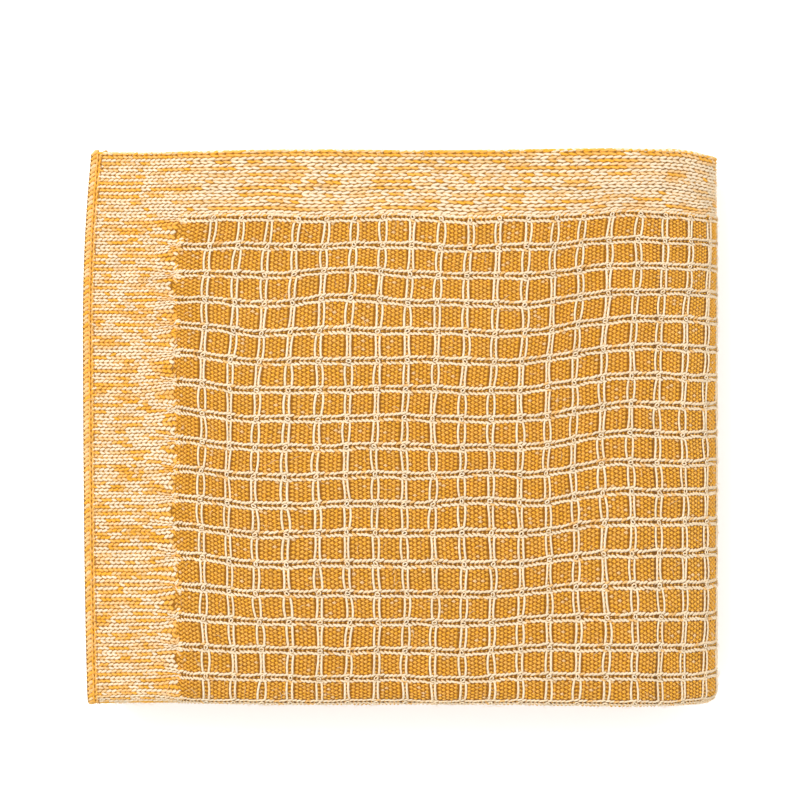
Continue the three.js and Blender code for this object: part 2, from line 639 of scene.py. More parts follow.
@dataclass(frozen=True)
class Gauge:
    """Sizes of the knit's stitches, in metres."""

    border_wale: float = 3.95 * MM
    end_course: float = 2.9 * MM
    side_course: float = 4.7 * MM
    border_yarn: float = 0.81 * MM
    chain_course: float = 2.6 * MM
    chain_spread: float = 1.5 * MM
    chain_yarn: float = 0.75 * MM
    purl_along: float = 2.4 * MM
    purl_across: float = 2.2 * MM
    purl_yarn: float = 1.12 * MM
    float_spread: float = 1.42 * MM
    float_yarn: float = 0.69 * MM
    cuff_pitch: float = 2.7 * MM
    cuff_yarn: float = 1.3 * MM
    cuff_edge: float = 6.6 * MM  # where the cuff's column ends and the marled stitches start
    cuff_column: float = 4.6 * MM  # the middle of the plain column beside the wrapping stitches
    cuff_seam: float = 6.5 * MM  # and of the thin strand of painted shade along the seam beside that
    column_course: float = 3.4 * MM
    ring_yarn: float = 0.48 * MM
    seam_yarn: float = 0.36 * MM
    fibre: float = 0.07 * MM


class StitchTemplates:
    """One mesh for each kind of stitch, kept in a collection that the stitch nodes pick from."""

    # A leg's stops along the wale and across it, as shares of the stitch, and their height in millimetres.
    # The plain detail has one stop in the place of the two in the middle.
    BORDER_LINE = ((-0.72, 0.04, -0.7), (-0.24, 0.19, 0.14), (0.26, 0.33, 0.2), (0.68, 0.3, -0.7))
    BORDER_MIDDLE = (0.04, 0.28, 0.3)
    CHAIN_LINE = ((-0.74, 0.36, -0.6), (-0.24, 0.86, 0.18), (0.26, 1.26, 0.22), (0.66, 1.02, -0.6))
    CHAIN_MIDDLE = (0.04, 1.2, 0.25)
    # The stops of the short stitches, in millimetres.
    PURL_LINE = ((0.15, -0.66, -0.5), (-0.08, 0.0, 0.16), (0.15, 0.66, -0.5))
    SEAM_LINE = ((0.15, -1.5, -0.3), (0, 0, 0.25), (-0.15, 1.5, -0.3))
    STRAY_LINE = ((-2.8, -0.3, -0.3), (-0.9, 0.35, 0.55), (1.1, 0.3, 1.0), (2.9, -0.5, 0.75))
    BOW_OUT, BOW_IN = 0.75 * MM, -0.45 * MM

    def __init__(self, gauge: Gauge, detail: Detail) -> None:
        """Makes the templates.

        Args:
            gauge: The knit's stitch sizes.
            detail: How finely they are made.
        """
        self.gauge = gauge
        self.fine = detail is Detail.FINE
        self.sides = 4 if self.fine else 3
        self.collection = bpy.data.collections.new(f"stitches_{detail.value}")
        makers = {
            Stitch.BORDER_LEFT: partial(self.border_leg, 1),
            Stitch.BORDER_RIGHT: partial(self.border_leg, -1),
            Stitch.CHAIN_LEFT: partial(self.chain_leg, 1),
            Stitch.CHAIN_RIGHT: partial(self.chain_leg, -1),
            Stitch.PURL: partial(self.short, self.PURL_LINE, gauge.purl_yarn, self.sides, 0.6),
            Stitch.FLOAT_OUT: partial(self.strand, self.BOW_OUT),
            Stitch.FLOAT_IN: partial(self.strand, self.BOW_IN),
            Stitch.RING: self.ring,
            Stitch.CUFF: self.cuff,
            Stitch.SEAM: partial(self.short, self.SEAM_LINE, gauge.seam_yarn, 4, 0.7),
            Stitch.STRAY: partial(self.short, self.STRAY_LINE, gauge.fibre, 3, 0.5),
        }
        for stitch, maker in makers.items():
            mesh = maker()
            mesh.name = f"{stitch.value:02d}_{stitch.name.lower()}_{detail.value}"
            self.collection.objects.link(bpy.data.objects.new(mesh.name, mesh))

    def border_leg(self, way: int) -> bpy.types.Mesh:
        """One leg of a plain stitch, which leans out from the wale's middle.

        Args:
            way: +1 for the leg on the +v side, -1 for the other.

        Returns:
            The mesh.
        """
        g = self.gauge
        line = self.leg_line(self.BORDER_LINE, self.BORDER_MIDDLE)
        stops = [(x * g.end_course, way * y * g.border_wale, z * MM) for x, y, z in line]
        return tube(stops, g.border_yarn, self.sides)

    def chain_leg(self, way: int) -> bpy.types.Mesh:
        """One leg of a chain stitch, in the thinner cream yarn.

        Args:
            way: +1 for the leg on the +v side, -1 for the other.

        Returns:
            The mesh.
        """
        g = self.gauge
        line = self.leg_line(self.CHAIN_LINE, self.CHAIN_MIDDLE)
        stops = [(x * g.chain_course, way * y * g.chain_spread, z * MM) for x, y, z in line]
        return tube(stops, g.chain_yarn, self.sides)

    def leg_line(self, line: tuple, middle: tuple) -> list[tuple]:
        """A leg's stops at this detail.

        Args:
            line: All four stops.
            middle: The one that takes the place of the two in the middle.

        Returns:
            The stops.
        """
        return list(line) if self.fine else [line[0], middle, line[-1]]

    def short(self, line: tuple, yarn: float, sides: int, ends: float) -> bpy.types.Mesh:
        """A purl stitch's bump, the strand of painted shade along the seam, or a stray fibre.

        Args:
            line: Its stops, in millimetres.
            yarn: The yarn's radius.
            sides: How many flats go round it.
            ends: The radius at both ends, as a share of the full one.

        Returns:
            The mesh.
        """
        return tube([(x * MM, y * MM, z * MM) for x, y, z in line], yarn, sides, ends)

    def strand(self, bow: float) -> bpy.types.Mesh:
        """A float that crosses one row of squares from chain line to chain line.

        Args:
            bow: How far its middle stands away from the pair's middle line.

        Returns:
            The mesh.
        """
        half = FoldedCloth.ROW_PITCH / 2 - 0.7 * MM
        stops = []
        for t in self.shares(6 if self.fine else 4):
            stops.append((bow * (1 - t * t), t * half, 0.25 * MM - 1.0 * MM * abs(t) ** 5))
        return tube(stops, self.gauge.float_yarn, self.sides, 0.8)

    def ring(self) -> bpy.types.Mesh:
        """The small loop where a pair of floats passes through a chain line.

        Returns:
            The mesh.
        """
        count = 7 if self.fine else 6
        stops = []
        for i in range(count):
            angle = 2 * math.pi * (i / (count - 1)) * 0.98
            stops.append((0.95 * MM * math.cos(angle), 1.35 * MM * math.sin(angle), 0.25 * MM))
        return tube(stops, self.gauge.ring_yarn, self.sides, 0.9)

    def cuff(self) -> bpy.types.Mesh:
        """A long slanted stitch that closes over the throw's end, laid out straight.

        Returns:
            The mesh.
        """
        stops = []
        for t in self.shares(9 if self.fine else 6):
            stops.append((t * 5.0 * MM, t * 3.1 * MM, 0.1 * MM - 1.1 * MM * t**4))
        return tube(stops, self.gauge.cuff_yarn, self.sides, 0.6)

    @staticmethod
    def shares(count: int) -> list[float]:
        """Even places from one end of a stitch to the other.

        Args:
            count: How many.

        Returns:
            The places, from -1 to 1.
        """
        return [2 * i / (count - 1) - 1 for i in range(count)]


@dataclass
class Sites:
    """Where stitches go on the flat throw, one row for each."""

    at: np.ndarray
    kind: np.ndarray
    turn: np.ndarray
    stretch: np.ndarray
    tint: np.ndarray

    @classmethod
    def of(
        cls,
        stitch: Stitch,
        at: np.ndarray,
        tint: np.ndarray | float,
        turn: np.ndarray | tuple = (0, 0, 0),
        stretch: np.ndarray | tuple = (1, 1, 1),
    ) -> "Sites":
        """Sites of one kind of stitch.

        Args:
            stitch: The kind.
            at: The places.
            tint: 0 for mustard yarn to 1 for cream, and -1 for the seam's painted shade.
            turn: Rotation about the three axes, one for all or one each.
            stretch: Scale along the three axes, one for all or one each.

        Returns:
            The sites.
        """
        at = np.asarray(at, float).reshape(-1, 3)
        count = len(at)
        turns, stretches = (np.broadcast_to(np.asarray(a, float), (count, 3)).copy() for a in (turn, stretch))
        tints = np.broadcast_to(np.asarray(tint, float), (count,)).copy()
        return cls(at, np.full(count, stitch.value), turns, stretches, tints)

    @classmethod
    def joined(cls, parts: list) -> "Sites | None":
        """Several sets of sites as one.

        Args:
            parts: The sets, and None for each one that turned out empty.

        Returns:
            One set, or None where there is nothing to join.
        """
        parts = [part for part in parts if part is not None]
        if not parts:
            return None
        names = ("at", "kind", "turn", "stretch", "tint")
        return cls(*(np.concatenate([getattr(p, n) for p in parts]) for n in names))

    def where(self, mask: np.ndarray) -> "Sites":
        """The sites that a mask keeps.

        Args:
            mask: Which to keep.

        Returns:
            The kept sites.
        """
        return Sites(self.at[mask], self.kind[mask], self.turn[mask], self.stretch[mask], self.tint[mask])


class NodeBuilder:
    """Adds nodes to a node tree."""

    tree: bpy.types.NodeTree

    def add(self, kind: str, inputs: dict | None = None, **settings: object) -> bpy.types.Node:
        """Adds one node, with its settings and what goes into it.

        Args:
            kind: The node's type.
            inputs: A value or a socket for each named or numbered input.
            settings: The node's own settings.

        Returns:
            The node.
        """
        node = self.tree.nodes.new(kind)
        for name, value in settings.items():
            setattr(node, name, value)
        for key, value in (inputs or {}).items():
            socket = node.inputs[key]
            if isinstance(value, bpy.types.NodeSocket):
                self.tree.links.new(value, socket)
            else:
                socket.default_value = value
        return node


class StitchNodes(NodeBuilder):
    """The node tree that puts a stitch on every site."""

    def __init__(self) -> None:
        """Builds the tree."""
        tree = self.tree = bpy.data.node_groups.new("Stitches on sites", "GeometryNodeTree")
        for name, kind in (
            ("Sites", "NodeSocketGeometry"),
            ("Templates", "NodeSocketCollection"),
            ("Yarn", "NodeSocketMaterial"),
            ("Uneven", "NodeSocketFloat"),
            ("Seed", "NodeSocketInt"),
        ):
            tree.interface.new_socket(name, in_out="INPUT", socket_type=kind)
        tree.interface.new_socket("Stitches", in_out="OUTPUT", socket_type="NodeSocketGeometry")
        given = self.add("NodeGroupInput")
        pick = self.add("GeometryNodeCollectionInfo", {"Collection": given.outputs["Templates"]})
        pick.inputs["Separate Children"].default_value = True
        kind = self.add("GeometryNodeInputNamedAttribute", {"Name": "kind"}, data_type="INT")
        turn = self.add("GeometryNodeInputNamedAttribute", {"Name": "turn"}, data_type="FLOAT_VECTOR")
        stretch = self.add("GeometryNodeInputNamedAttribute", {"Name": "stretch"}, data_type="FLOAT_VECTOR")
        spread = self.add("ShaderNodeMath", {0: given.outputs["Uneven"], 1: -1.0}, operation="MULTIPLY")
        waver = self.add(
            "FunctionNodeRandomValue",
            {"Min": spread.outputs[0], "Max": given.outputs["Uneven"], "Seed": given.outputs["Seed"]},
            data_type="FLOAT_VECTOR",
        )
        turned = self.add(
            "ShaderNodeVectorMath", {0: turn.outputs[0], 1: waver.outputs[0]}, operation="ADD"
        )
        rotation = self.add("FunctionNodeEulerToRotation", {"Euler": turned.outputs[0]})
        laid = self.add(
            "GeometryNodeInstanceOnPoints",
            {
                "Points": given.outputs["Sites"],
                "Instance": pick.outputs[0],
                "Pick Instance": True,
                "Instance Index": kind.outputs[0],
                "Rotation": rotation.outputs[0],
                "Scale": stretch.outputs[0],
            },
        )
        real = self.add("GeometryNodeRealizeInstances", {"Geometry": laid.outputs[0]})
        dressed = self.add(
            "GeometryNodeSetMaterial", {"Geometry": real.outputs[0], "Material": given.outputs["Yarn"]}
        )
        self.add("NodeGroupOutput", {"Stitches": dressed.outputs[0]})

    def identifier(self, name: str) -> str:
        """The identifier of a named input.

        Args:
            name: The input's name.

        Returns:
            Its identifier.
        """
        return next(
            i.identifier for i in self.tree.interface.items_tree if i.name == name and i.in_out == "INPUT"
        )


# --------------------------------------------------------------------------- finishes


class Finish(NodeBuilder):
    """A procedural material, made once."""

    WAVE_SCALE = 0.314  # a wave texture's scale for bands one metre apart

    def __init__(self, name: str) -> None:
        """Starts the material.

        Args:
            name: Its name.
        """
        self.material = bpy.data.materials.new(name)
        self.material.use_nodes = True
        self.tree = self.material.node_tree
        self.tree.nodes.clear()

    def mix(self, factor: object, a: object, b: object, blend: str = "MIX") -> bpy.types.NodeSocket:
        """Mixes two colours, each given as a value or a socket.

        Args:
            factor: The share of the second.
            a: The first colour.
            b: The second colour.
            blend: How they are mixed.

        Returns:
            The mixed colour's socket.
        """
        # A Mix node has inputs for every kind of data: these three are its factor and its two colours.
        node = self.add("ShaderNodeMix", {}, data_type="RGBA", blend_type=blend)
        for index, value in ((0, factor), (6, a), (7, b)):
            if isinstance(value, bpy.types.NodeSocket):
                self.tree.links.new(value, node.inputs[index])
            else:
                node.inputs[index].default_value = value
        return node.outputs[2]

    def math(self, operation: str, *values: object, **settings: object) -> bpy.types.NodeSocket:
        """Works one value out of others.

        Args:
            operation: What is done with them.
            values: The values or their sockets.
            settings: The node's own settings.

        Returns:
            The result's socket.
        """
        node = self.add("ShaderNodeMath", dict(enumerate(values)), operation=operation, **settings)
        return node.outputs[0]

    def noise(self, place: bpy.types.NodeSocket, size: float, detail: float) -> bpy.types.NodeSocket:
        """Soft uneven patches.

        Args:
            place: The coordinates' socket.
            size: How large the patches are.
            detail: How much finer structure they have.

        Returns:
            The value's socket.
        """
        inputs = {"Vector": place, "Scale": 1 / size, "Detail": detail}
        return self.add("ShaderNodeTexNoise", inputs).outputs[0]

    def bands(
        self, place: bpy.types.NodeSocket, pitch: float, way: str, uneven: float, detail: float
    ) -> bpy.types.NodeSocket:
        """Even bands, a little out of line.

        Args:
            place: The coordinates' socket.
            pitch: From one band to the next.
            way: The direction that they repeat in.
            uneven: How far out of line they are.
            detail: How much finer structure that has.

        Returns:
            The value's socket.
        """
        inputs = {"Vector": place, "Scale": self.WAVE_SCALE / pitch, "Distortion": uneven, "Detail": detail}
        return self.add("ShaderNodeTexWave", inputs, bands_direction=way).outputs["Fac"]

    def shaded(
        self, colour: bpy.types.NodeSocket, value: bpy.types.NodeSocket, low: float, high: float
    ) -> bpy.types.NodeSocket:
        """A colour made darker and lighter by a value.

        Args:
            colour: The colour's socket.
            value: The value's socket, from 0 to 1.
            low: The brightness where it is 0.
            high: The brightness where it is 1.

        Returns:
            The shaded colour's socket.
        """
        level = self.remap(value, low, high)
        grey = self.add("ShaderNodeCombineColor", {0: level, 1: level, 2: level})
        return self.mix(1.0, colour, grey.outputs[0], "MULTIPLY")

    def remap(self, value: bpy.types.NodeSocket, low: float, high: float) -> bpy.types.NodeSocket:
        """Takes a value from 0 to 1 to another range.

        Args:
            value: The value's socket.
            low: Where 0 goes.
            high: Where 1 goes.

        Returns:
            The new value's socket.
        """
        node = self.add("ShaderNodeMapRange", {"Value": value, "To Min": low, "To Max": high})
        return node.outputs[0]

    def close(
        self,
        colour: bpy.types.NodeSocket,
        rough: bpy.types.NodeSocket,
        height: bpy.types.NodeSocket,
        bump: float,
        depth: float,
        sheen: float,
    ) -> bpy.types.Material:
        """Ends the tree in one shader.

        Args:
            colour: The base colour's socket.
            rough: The roughness' socket.
            height: The relief's socket.
            bump: The relief's strength.
            depth: The relief's depth, in metres.
            sheen: The weight of the fibres' sheen.

        Returns:
            The material.
        """
        relief = self.add("ShaderNodeBump", {"Strength": bump, "Distance": depth, "Height": height})
        shader = self.add(
            "ShaderNodeBsdfPrincipled",
            {"Base Color": colour, "Roughness": rough, "Normal": relief.outputs[0]},
        )
        shader.inputs["Sheen Weight"].default_value = sheen
        shader.inputs["Sheen Roughness"].default_value = 0.55
        shader.inputs["Sheen Tint"].default_value = linear("FFE6C0")
        shader.inputs["Specular IOR Level"].default_value = 0.22
        self.add("ShaderNodeOutputMaterial", {"Surface": shader.outputs[0]})
        return self.material


@dataclass(frozen=True)
class YarnFinish:
    """Two-ply cotton yarn, spun soft.

    The eye sees a matt yarn with a dry, faintly hairy surface: the two plies' twist shows as fine slanted
    lines, as relief and as painted shade in the grooves between the plies, and the dye comes out a little
    lighter and darker from place to place.
    """

    name: str = "Cotton yarn, two-ply spun"
    mustard: str = "F9B737"
    cream: str = "FBE8C8"
    # Painted shade: the brown of the thin strand laid along the seam, where shade falls.
    seam: str = "A87242"
    twist: float = 1.5 * MM
    fibre: float = 0.25 * MM
    patch: float = 9.0 * MM
    sheen: float = 0.18

    def build(self) -> bpy.types.Material:
        """Builds the material.

        Returns:
            The material.
        """
        f = Finish(self.name)
        place = f.add("ShaderNodeTexCoord").outputs
        tint = f.add("ShaderNodeAttribute", attribute_name="tint").outputs["Fac"]
        yarn = f.mix(tint, linear(self.mustard), linear(self.cream))
        # Tints under 0 turn the yarn to the seam's painted shade.
        yarn = f.mix(f.math("MULTIPLY", tint, -1.0, use_clamp=True), yarn, linear(self.seam))
        fibres = f.noise(place["Object"], self.fibre, 4.0)
        twist = f.bands(place["UV"], self.twist, "DIAGONAL", 0.6, 1.0)
        yarn = f.shaded(yarn, f.noise(place["Object"], self.patch, 3.0), 0.82, 1.12)
        yarn = f.shaded(yarn, fibres, 0.86, 1.08)
        # Painted shade in the grooves of the twist, with a faint painted highlight on the plies.
        yarn = f.shaded(yarn, twist, 0.86, 1.04)
        height = f.math("ADD", twist, fibres)
        return f.close(yarn, f.remap(fibres, 0.82, 0.97), height, 0.55, 0.16 * MM, self.sheen)


@dataclass(frozen=True)
class GroundFinish:
    """The knit's inner loops, under the face stitches.

    The eye sees depth between the stitches: rows of small matt bumps, painted darker than the yarn in front
    of them as the shade that falls between the stitches and painted lighter on their tops, with painted shade
    darker still in the hollows on both sides of each chain line.
    """

    name: str = "Cotton knit, ribbed back loops"
    # Painted shade: both ground colours are the mustard yarn darkened, for the shade that falls between the
    # face stitches.
    shade: str = "8C580E"
    light: str = "D6992E"
    # Painted shade in the hollows on both sides of each chain line.
    hollow_shade: str = "70470E"
    wale: float = 2.4 * MM
    patch: float = 7.0 * MM
    border: float = 40 * MM  # where the first chain line is, from the hem
    end: float = 55 * MM  # where the chain lines start, from the throw's end
    length: float = 1.5  # the throw's length
    line_width: float = 2.0 * MM
    # How far the painted shade in those hollows goes towards its colour.
    hollow_shade_share: float = 0.62

    def build(self) -> bpy.types.Material:
        """Builds the material.

        Returns:
            The material.
        """
        f = Finish(self.name)
        place = f.add("ShaderNodeTexCoord").outputs
        rows, courses = (f.bands(place["UV"], self.wale, way, 1.5, 2.0) for way in ("Y", "X"))
        loops = f.math("MULTIPLY", rows, courses)
        patches = f.noise(place["Object"], self.patch, 5.0)
        # Painted shade and painted highlight: the loops go from the dark colour between them to the light one
        # on their tops.
        knit = f.mix(loops, linear(self.shade), linear(self.light))
        # Painted shade: in a strip on both sides of each chain line, within the field, the ground turns
        # towards the hollows' dark colour.
        spot = f.add("ShaderNodeSeparateXYZ", {0: place["UV"]}).outputs
        half_row = FoldedCloth.ROW_PITCH / 2
        from_line = f.math("WRAP", f.math("ADD", spot[1], self.border), half_row, -half_row)
        off = f.math("ABSOLUTE", from_line)
        fade = {0: off, 1: self.line_width / 2, 2: self.line_width, 3: self.hollow_shade_share, 4: 0.0}
        beside = f.add("ShaderNodeMapRange", fade).outputs[0]
        middle = self.length / 2
        within_field = f.math("COMPARE", spot[0], middle, middle - self.end)
        knit = f.mix(f.math("MULTIPLY", beside, within_field), knit, linear(self.hollow_shade))
        knit = f.shaded(knit, patches, 0.75, 1.2)
        return f.close(knit, f.remap(patches, 0.86, 0.98), loops, 0.8, 0.5 * MM, 0.2)


# --------------------------------------------------------------------------- the knit


@dataclass(frozen=True)
class Patch:
    """A rectangle of the flat throw whose face stitches are made."""

    start: float
    end: float
    near: float
    far: float


class KnitFace:
    """Lays out the stitches of the throw's show face."""

    FIRST_PAIR = 2.5 * MM  # the first cell is this much wider than the rest
    PAIRS = 84
    GROW_START, GROW_LENGTH = 42 * MM, 34 * MM  # where the marled stitches grow longer, from an end
    WALE_SHIFT = 0.618  # how far one wale's stitches are out of step with the next one's
    CREAM_SHARE = {Stitch.BORDER_LEFT: 0.88, Stitch.BORDER_RIGHT: 0.4}
    SIDE_CREAM = 0.12  # how much more of the side borders is cream
    HEM_CREAM = 0.05  # the first wale is nearly all mustard
    WIDEST_GAP = 0.45  # of a stitch, beside the cuff, before one more stitch fills it
    CLEAR_ALONG, CLEAR_ACROSS = 2.7 * MM, 2.5 * MM  # from a line to the first bump of a square
    BUMP_PITCH = 2.3 * MM  # between the bumps that lie under a pair of floats

    def __init__(self, cloth: FoldedCloth, gauge: Gauge) -> None:
        """Sets out the pattern.

        Args:
            cloth: The throw.
            gauge: The knit's stitch sizes.
        """
        self.cloth = cloth
        self.gauge = gauge
        self.border = cloth.sizes.side_border
        self.end = cloth.sizes.end_border
        self.row = cloth.ROW_PITCH
        self.cell = (cloth.length - 2 * self.end - 2 * self.FIRST_PAIR) / self.PAIRS
        self.random = np.random.default_rng(SEED)

    def pair(self, i: np.ndarray) -> np.ndarray:
        """Where the i-th pair of floats is along the throw.

        Args:
            i: The pairs' numbers, from 1.

        Returns:
            The places.
        """
        return self.end + self.FIRST_PAIR + self.cell * i

    def runs(self, count: int, cream: float, longest: int = 3) -> np.ndarray:
        """Cream and mustard stitches in short runs, as marled yarn knits up.

        Args:
            count: How many stitches.
            cream: The share of cream runs.
            longest: The longest run.

        Returns:
            A tint for each stitch.
        """
        tints = []
        while len(tints) < count:
            run = int(self.random.integers(1, longest + 1))
            base = 0.93 if self.random.random() < cream else 0.1
            base = 0.48 if self.random.random() < 0.16 else base
            tints += list(base + self.random.uniform(-0.13, 0.13, run))
        return np.array(tints[:count])

    def rows_between(self, near: float, far: float) -> np.ndarray:
        """Numbers of the chain lines in a stretch across the throw.

        Args:
            near: The stretch's start, from the hem.
            far: Its end.

        Returns:
            The numbers.
        """
        first = max(0, math.ceil((near - self.border) / self.row))
        return np.arange(first, math.floor((far - self.border) / self.row) + 1)

    def courses(self) -> tuple[np.ndarray, np.ndarray, np.ndarray]:
        """How the marled stitches follow each other: they are longer in the side borders than at the ends.

        Returns:
            Places along the throw, a stitch's length at each, and how many stitches come before it.
        """
        g, length = self.gauge, self.cloth.length
        places = np.linspace(0, length, 3000)
        share = smooth((np.minimum(places, length - places) - self.GROW_START) / self.GROW_LENGTH)
        widths = g.end_course + (g.side_course - g.end_course) * share
        return places, widths, np.concatenate([[0.0], np.cumsum(np.diff(places) / widths[1:])])

    def marl(self, patch: Patch) -> Sites | None:
        """Plain marled stitches: both side borders and the end borders.

        Args:
            patch: The stretch of the throw.

        Returns:
            The sites.
        """
        g, parts = self.gauge, []
        length = self.cloth.length
        places, widths, counted = self.courses()
        shortest, widest_gap = 0.4 * g.end_course, self.WIDEST_GAP * g.end_course
        for wale in range(int(patch.far / g.border_wale) + 1):
            w = (wale + 0.5) * g.border_wale
            if not patch.near <= w <= patch.far:
                continue
            reach = self.end + 0.8 * MM + 2.0 * MM * math.cos(2 * math.pi * (w - self.border) / self.row)
            spans = [(patch.start, min(patch.end, reach)), (max(patch.start, length - reach), patch.end)]
            if w < self.border - 0.3 * g.border_wale:
                spans = [(patch.start, patch.end)]
            for start, stop in spans:
                start, stop = max(start, g.cuff_edge), min(stop, length - g.cuff_edge)
                if stop - start < shortest:
                    continue
                first, last = np.interp((start, stop), places, counted)
                shift = wale * self.WALE_SHIFT
                numbers = np.arange(math.ceil(first - shift), math.ceil(last - shift)) + shift
                u = np.interp(numbers, counted, places)
                if start <= g.cuff_edge and (not len(u) or u[0] - start > widest_gap):
                    u = np.concatenate([[start], u])
                if stop >= length - g.cuff_edge and (not len(u) or stop - u[-1] > widest_gap):
                    u = np.concatenate([u, [stop]])
                count = len(u)
                if not count:
                    continue
                stretch = rows_of(np.interp(u, places, widths) / g.end_course, 1.0, 1.0)
                for stitch, share in self.CREAM_SHARE.items():
                    share += self.SIDE_CREAM if w < self.border else 0.0
                    tint = self.runs(count, self.HEM_CREAM if wale == 0 else share)
                    at = rows_of(u, -w, -1.1 * MM)
                    at[:, 1] += self.random.uniform(-0.12, 0.12, count) * MM
                    at[:, 2] += self.random.uniform(-0.15, 0.1, count) * MM
                    parts.append(Sites.of(stitch, at, tint, stretch=stretch))
        return Sites.joined(parts)

    def chains(self, patch: Patch, plain: bool = False) -> Sites | None:
        """The cream chain lines that run along the throw.

        Args:
            patch: The stretch of the throw.
            plain: Whether the small bumps between their legs are left out.

        Returns:
            The sites.
        """
        g, parts = self.gauge, []
        start = max(patch.start, self.end - 1.5 * MM)
        stop = min(patch.end, self.cloth.length - self.end + 1.5 * MM)
        count = round((stop - start) / g.chain_course)
        if count < 1:
            return None
        u = middles(start, stop, count)
        beside_pair = np.cos(2 * math.pi * (u - self.pair(0)) / self.cell)
        opened, closed = np.maximum(beside_pair, 0) ** 2, np.maximum(-beside_pair, 0)
        spread = (0.16 + 0.42 * opened - 0.16 * closed) * MM
        for j in self.rows_between(patch.near, patch.far):
            w = self.border + self.row * j
            for stitch, side in ((Stitch.CHAIN_LEFT, 1), (Stitch.CHAIN_RIGHT, -1)):
                at = rows_of(u, -w, -0.75 * MM)
                at[:, 1] += spread * side
                at[:, 0] += self.random.uniform(-0.16, 0.16, count) * MM
                at[:, 1] += self.random.uniform(-0.22, 0.22, count) * MM
                at[:, 2] += self.random.uniform(-0.1, 0.1, count) * MM
                tint = self.random.uniform(0.84, 1.0, count)
                tint[self.random.random(count) < 0.07] = 0.35
                turn = rows_of(0.0, 0.0, self.random.uniform(-0.1, 0.1, count))
                parts.append(Sites.of(stitch, at, tint, turn))
            if plain:
                continue
            dots = u[:-1] + 0.5 * (u[1] - u[0]) if count > 1 else u
            tint = self.random.uniform(0.0, 0.2, len(dots))
            at = rows_of(dots, -w, -1.35 * MM)
            parts.append(Sites.of(Stitch.PURL, at, tint, stretch=(0.62, 0.62, 1)))
        return Sites.joined(parts)

    def floats(self, patch: Patch, plain: bool = False) -> Sites | None:
        """The pairs of cream floats that cross the rows, and the loops where they pass the chain lines.

        Args:
            patch: The stretch of the throw.
            plain: Whether the small bumps between the two floats are left out.

        Returns:
            The sites.
        """
        g, parts = self.gauge, []
        pairs = self.pair(np.arange(1, self.PAIRS))
        pairs = pairs[(pairs >= patch.start) & (pairs < patch.end)]
        count = len(pairs)
        if not count:
            return None
        for j in self.rows_between(patch.near - self.row / 2, patch.far - self.row / 2):
            w = self.border + self.row * (j + 0.5)
            if w > patch.far or w < patch.near:
                continue
            for way in (-1, 1):
                at = rows_of(pairs + way * g.float_spread, -w, -0.62 * MM)
                at[:, 0] += self.random.uniform(-0.2, 0.2, count) * MM
                bowed = self.random.random(count) < 0.5
                self.random.random(count)  # not used: it keeps the later draws as they are
                tint = self.random.uniform(0.88, 1.0, count)
                turn = rows_of(0.0, 0.0, self.random.uniform(-0.03, 0.03, count))
                for mask, stitch in ((bowed, Stitch.FLOAT_OUT), (~bowed, Stitch.FLOAT_IN)):
                    if mask.any():
                        parts.append(Sites.of(stitch, at[mask], tint[mask], turn[mask], (way, 1, 1)))
            for k in () if plain else range(-2, 3):
                at = rows_of(pairs, -w + k * self.BUMP_PITCH, -1.3 * MM)
                tint = self.random.uniform(0.0, 0.3, count)
                parts.append(Sites.of(Stitch.PURL, at, tint, stretch=(0.8, 0.95, 0.9)))
        for j in self.rows_between(patch.near, patch.far):
            at = rows_of(pairs, -(self.border + self.row * j), -0.2 * MM)
            at[:, :2] += self.random.uniform(-0.2, 0.2, (count, 2)) * MM
            turn = rows_of(0.0, 0.0, self.random.uniform(0, 2 * math.pi, count))
            parts.append(Sites.of(Stitch.RING, at, self.random.uniform(0.8, 1.0, count), turn))
        return Sites.joined(parts)

    def squares(self, patch: Patch) -> Sites | None:
        """The mustard squares of purl stitches between the lines.

        Args:
            patch: The stretch of the throw.

        Returns:
            The sites.
        """
        g, parts = self.gauge, []
        first, last = self.end - 1.2 * MM, self.cloth.length - self.end + 1.2 * MM
        for i in range(self.PAIRS):
            left = first if i == 0 else self.pair(i) + self.CLEAR_ALONG
            right = last if i == self.PAIRS - 1 else self.pair(i + 1) - self.CLEAR_ALONG
            if not patch.start <= (left + right) / 2 < patch.end:
                continue
            columns = max(2, round((right - left) / g.purl_along))
            us = middles(left, right, columns)
            for j in self.rows_between(patch.near - self.row, patch.far):
                top = self.border + self.row * j + self.CLEAR_ACROSS
                bottom = top + self.row - 2 * self.CLEAR_ACROSS
                ws = middles(top, bottom, round((bottom - top) / g.purl_across))
                uu, ww = np.meshgrid(us, ws, indexing="ij")
                brick = (np.arange(columns) % 2)[:, None] * 0.5 * g.purl_across - 0.25 * g.purl_across
                ww = (ww + brick).ravel()
                at = rows_of(uu.ravel(), -ww, -1.15 * MM)
                at += self.random.uniform(-0.12, 0.12, at.shape) * MM
                keep = (ww > patch.near) & (ww < patch.far)
                tint = self.random.uniform(0.0, 0.10, ww.size)
                tint[self.random.random(ww.size) < 0.05] = 0.45
                parts.append(Sites.of(Stitch.PURL, at, tint, stretch=(1.3, 1.05, 1)).where(keep))
        return Sites.joined(parts)

    def hem(self, region: Region, far_side: bool) -> Sites:
        """The wale that closes the cloth's side edge.

        Args:
            region: The stretch of the throw.
            far_side: Whether it is the hem at the end of the fold, not the one on the show layer.

        Returns:
            The sites.
        """
        g, parts = self.gauge, []
        v = -self.cloth.width + 0.75 * MM if far_side else -0.75 * MM
        angle = math.pi / 2 if far_side else -math.pi / 2
        start, stop = max(region.start, 2 * MM), min(region.end, self.cloth.length - 2 * MM)
        count = round((stop - start) / g.side_course)
        at = rows_of(middles(start, stop, count), v, -1.9 * MM)
        size = (stop - start) / count / g.end_course
        for stitch in (Stitch.BORDER_LEFT, Stitch.BORDER_RIGHT):
            parts.append(Sites.of(stitch, at, self.runs(count, 0.3), (angle, 0, 0), (size, 0.85, 1)))
        return Sites.joined(parts)

